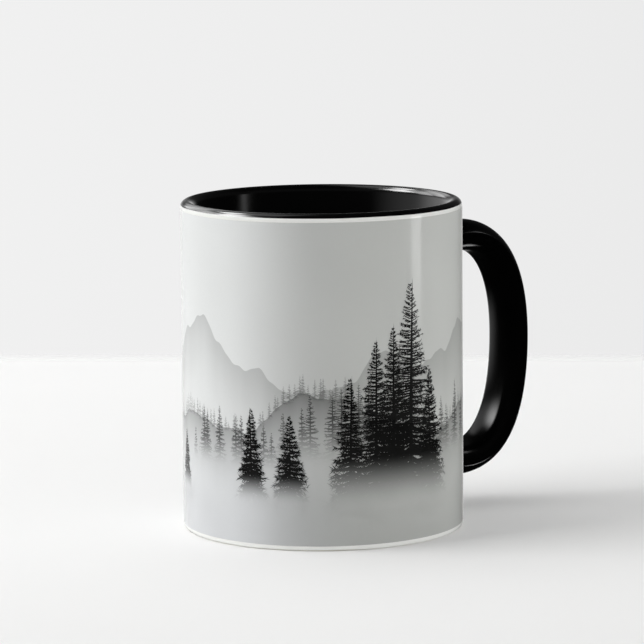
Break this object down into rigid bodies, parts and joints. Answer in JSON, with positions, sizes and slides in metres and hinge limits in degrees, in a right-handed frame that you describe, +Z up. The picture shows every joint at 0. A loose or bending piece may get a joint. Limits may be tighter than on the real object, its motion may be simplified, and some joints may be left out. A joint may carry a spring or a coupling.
{
  "type": "coffee mug",
  "caption": "Straight-sided ceramic mug with a printed pale outside, a dark glazed inside and lip, and a dark C-shaped handle luted to its wall.",
  "frame": {"origin": "middle of the overall outline seen from above, on the surface that the foot ring stands on", "axes": "+X from the cup towards the handle, +Z up out of the cup, +Y across the handle"},
  "size_m": [0.1184, 0.0822, 0.0963],
  "materials": {
    "bisque": "bare fired clay, fine and matt",
    "slip": "fired clay slip, matt",
    "black_glaze": "gloss black glaze",
    "white_glaze": "gloss white glaze",
    "print_film": "gloss printed film in greys"
  },
  "bodies": {
    "root": {"ceramic_body": "bisque", "liner_glaze": "black_glaze", "outer_glaze": "white_glaze", "base_glaze": "white_glaze", "print_wrap": "print_film", "handle_core": "bisque", "handle_glaze": "black_glaze", "upper_luting_joint": "slip", "lower_luting_joint": "slip"}
  },
  "joints": []
}
